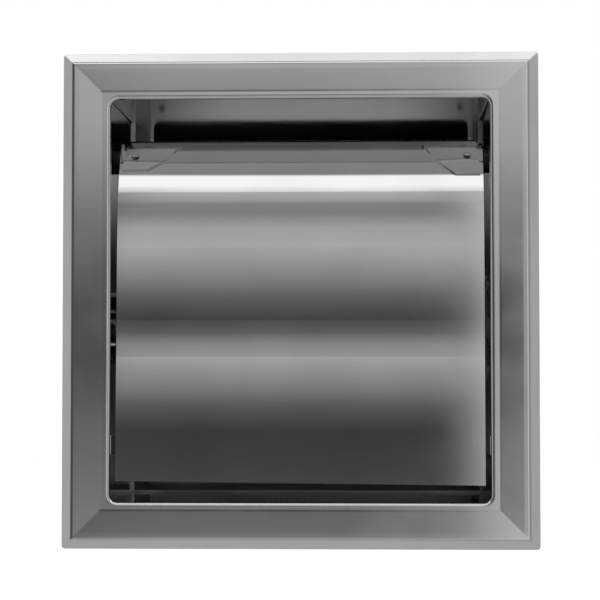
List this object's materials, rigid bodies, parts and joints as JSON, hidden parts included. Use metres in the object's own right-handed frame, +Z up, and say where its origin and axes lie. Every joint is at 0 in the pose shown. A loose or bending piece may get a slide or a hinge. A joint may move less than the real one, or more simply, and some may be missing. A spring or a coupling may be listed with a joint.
{
  "type": "recessed toilet paper holder",
  "caption": "Square stainless steel holder set into a wall, with a drawn trim frame, a curved hood on two pins over a spring roller, and a rear clamp that grips the wall",
  "frame": {"origin": "centre of the mouth, in the plane of the finished wall that the rim of the trim lies on", "axes": "+X to the right as seen from the room, +Y into the wall, +Z up"},
  "size_m": [0.156, 0.1357, 0.1656],
  "materials": {
    "bright_steel": "bright rolled stainless steel",
    "mill_steel": "hazy rolled stainless steel",
    "plated_steel": "bright zinc plated steel",
    "spring_steel": "oiled spring wire",
    "nylon": "black moulded nylon",
    "plated_plastic": "bright metallised plastic"
  },
  "bodies": {
    "holder": {"trim_frame": "bright_steel", "housing": "mill_steel", "rear_liner": "mill_steel", "pivot_pin_left": "plated_steel", "pivot_pin_right": "plated_steel", "pivot_spacer_left": "nylon", "pivot_spacer_right": "nylon", "roller_bracket_left": "mill_steel", "roller_bracket_right": "mill_steel", "bracket_rivets": "plated_steel", "screw_washers": "plated_steel"},
    "hood_flap": {"hood": "bright_steel", "hinge_strap": "bright_steel"},
    "roller_wide": {"roller_wide_half": "plated_plastic", "roller_spring": "spring_steel"},
    "roller_narrow": {"roller_narrow_half": "plated_plastic"},
    "clamp": {"rear_clamp": "plated_steel", "clamp_nuts": "plated_steel"},
    "upper_screw": {"clamp_screw_upper": "plated_steel"},
    "lower_screw": {"clamp_screw_lower": "plated_steel"}
  },
  "joints": [
    {"name": "hood_pivot", "type": "hinge", "parent": "holder", "child": "hood_flap", "pos_m": [0, 0.01959, 0.04806], "axis": [-1, 0, 0], "range_deg": [0, 75]},
    {"name": "roller_spin", "type": "hinge", "parent": "holder", "child": "roller_wide", "pos_m": [0, 0.05081, -0.008], "axis": [1, 0, 0], "continuous": true},
    {"name": "roller_slide", "type": "slide", "parent": "roller_wide", "child": "roller_narrow", "axis": [1, 0, 0], "range_m": [-0.008, 0], "stiffness_N_per_m": 400, "springref_m": 0.01, "deforming": ["roller_spring"]},
    {"name": "upper_screw_turn", "type": "hinge", "parent": "holder", "child": "upper_screw", "pos_m": [0, 0.10726, 0.028], "axis": [0, 1, 0], "range_deg": [0, 5400]},
    {"name": "lower_screw_turn", "type": "hinge", "parent": "holder", "child": "lower_screw", "pos_m": [0, 0.10726, -0.028], "axis": [0, 1, 0], "range_deg": [0, 5400]},
    {"name": "clamp_slide", "type": "slide", "parent": "holder", "child": "clamp", "axis": [0, -1, 0], "range_m": [0, 0.012]}
  ],
  "couplings": [
    {"joint": "upper_screw_turn", "follows": "clamp_slide", "rad_per_m": 7854},
    {"joint": "lower_screw_turn", "follows": "clamp_slide", "rad_per_m": 7854}
  ]
}
